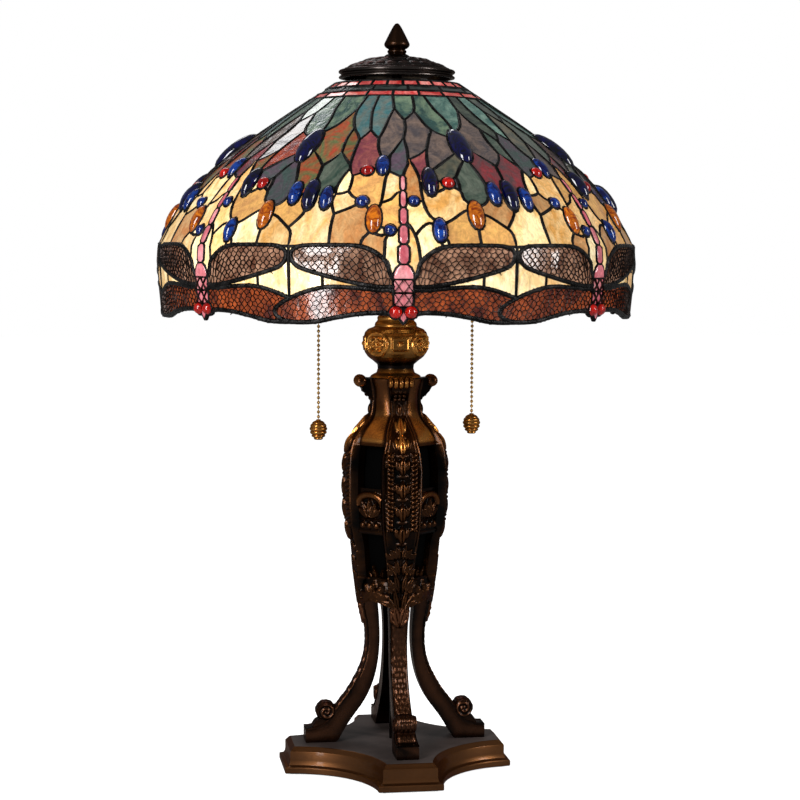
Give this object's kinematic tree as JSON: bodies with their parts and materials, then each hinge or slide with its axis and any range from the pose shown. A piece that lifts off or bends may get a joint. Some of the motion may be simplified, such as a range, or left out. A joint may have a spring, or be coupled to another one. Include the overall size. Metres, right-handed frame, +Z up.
{
  "type": "table lamp",
  "caption": "Table lamp with a leaded glass dragonfly shade on a four-legged cast urn stand, with two pull-chain lamp holders.",
  "frame": {"origin": "centre of the felt face that rests on the table, on the lamp's vertical axis", "axes": "+Z up; the four legs lie along X and Y and the cord leaves on +Y"},
  "size_m": [0.4718, 0.4716, 0.738],
  "materials": {
    "dark_bronze": "antique brown bronze over a casting, darker in the recesses and rubbed golden on raised edges",
    "gold_bronze": "warm antique gold bronze, satin",
    "black_metal": "black-brown patina, low gloss",
    "lamp_brass": "plain brass, satin",
    "zinc_steel": "bright zinc",
    "felt": "dark green felt",
    "cord_plastic": "dark brown flexible plastic",
    "porcelain": "white glazed porcelain",
    "bulb_glass": "warm frosted glass",
    "crown_glass": "opalescent leaded glass in teal, plum, red, amber and cream, with dark leading and coloured cabochons",
    "wing_glass": "brick-red leaded glass under dark metal filigree"
  },
  "bodies": {
    "stand": {"base_plate": "dark_bronze", "urn_cage": "dark_bronze", "leg_front": "dark_bronze", "leg_right": "dark_bronze", "leg_back": "dark_bronze", "leg_left": "dark_bronze", "neck_knop": "gold_bronze", "upper_neck": "gold_bronze", "urn_liner": "black_metal", "centre_tube": "lamp_brass", "cluster_hub": "lamp_brass", "spider_seat": "lamp_brass", "holder_arm_left": "lamp_brass", "holder_cap_left": "lamp_brass", "holder_shell_left": "lamp_brass", "chain_guide_left": "lamp_brass", "holder_insulator_left": "porcelain", "holder_arm_right": "lamp_brass", "holder_cap_right": "lamp_brass", "holder_shell_right": "lamp_brass", "chain_guide_right": "lamp_brass", "holder_insulator_right": "porcelain", "base_washer": "zinc_steel", "base_nut": "zinc_steel", "cluster_nut": "zinc_steel", "foot_screw_front": "zinc_steel", "foot_screw_right": "zinc_steel", "foot_screw_back": "zinc_steel", "foot_screw_left": "zinc_steel", "base_felt": "felt", "cord_grommet": "cord_plastic", "power_cord": "cord_plastic", "cord_plug": "cord_plastic"},
    "shade": {"shade_crown": "crown_glass", "shade_top_ring": "lamp_brass", "shade_spider": "lamp_brass", "vent_cap": "black_metal", "dragonfly_panel_1": "wing_glass", "dragonfly_panel_2": "wing_glass", "dragonfly_panel_3": "wing_glass", "dragonfly_panel_4": "wing_glass", "dragonfly_panel_5": "wing_glass", "dragonfly_panel_6": "wing_glass", "dragonfly_panel_7": "wing_glass"},
    "finial": {"finial": "dark_bronze"},
    "bulb_left": {"bulb_base_left": "zinc_steel", "bulb_glass_left": "bulb_glass"},
    "puller_left": {"chain_top_left": "lamp_brass"},
    "chain_left": {"pull_chain_left": "lamp_brass", "pull_knob_left": "gold_bronze"},
    "rotor_left": {"switch_rotor_left": "porcelain"},
    "bulb_right": {"bulb_base_right": "zinc_steel", "bulb_glass_right": "bulb_glass"},
    "puller_right": {"chain_top_right": "lamp_brass"},
    "chain_right": {"pull_chain_right": "lamp_brass", "pull_knob_right": "gold_bronze"},
    "rotor_right": {"switch_rotor_right": "porcelain"}
  },
  "joints": [
    {"name": "shade_turn", "type": "hinge", "parent": "stand", "child": "shade", "pos_m": [0, 0, 0.679], "axis": [0, 0, 1], "continuous": true},
    {"name": "finial_turn", "type": "hinge", "parent": "stand", "child": "finial", "pos_m": [0, 0, 0.71], "axis": [0, 0, 1], "continuous": true},
    {"name": "bulb_left_turn", "type": "hinge", "parent": "stand", "child": "bulb_left", "pos_m": [-0.054, 0, 0.53], "axis": [0, 0, 1], "continuous": true},
    {"name": "chain_left_pull", "type": "slide", "parent": "stand", "child": "puller_left", "axis": [0, 0, -1], "range_m": [0, 0.008]},
    {"name": "chain_left_swing", "type": "hinge", "parent": "puller_left", "child": "chain_left", "pos_m": [-0.077, 0, 0.5], "axis": [1, 0, 0], "range_deg": [-25, 25]},
    {"name": "rotor_left_turn", "type": "hinge", "parent": "stand", "child": "rotor_left", "pos_m": [-0.054, 0, 0.507], "axis": [0, -1, 0], "range_deg": [0, 90]},
    {"name": "bulb_right_turn", "type": "hinge", "parent": "stand", "child": "bulb_right", "pos_m": [0.054, 0, 0.53], "axis": [0, 0, 1], "continuous": true},
    {"name": "chain_right_pull", "type": "slide", "parent": "stand", "child": "puller_right", "axis": [0, 0, -1], "range_m": [0, 0.008]},
    {"name": "chain_right_swing", "type": "hinge", "parent": "puller_right", "child": "chain_right", "pos_m": [0.077, 0, 0.5], "axis": [1, 0, 0], "range_deg": [-25, 25]},
    {"name": "rotor_right_turn", "type": "hinge", "parent": "stand", "child": "rotor_right", "pos_m": [0.054, 0, 0.507], "axis": [0, 1, 0], "range_deg": [0, 90]}
  ],
  "couplings": [
    {"joint": "rotor_left_turn", "follows": "chain_left_pull", "rad_per_m": 196.35},
    {"joint": "rotor_right_turn", "follows": "chain_right_pull", "rad_per_m": 196.35}
  ]
}
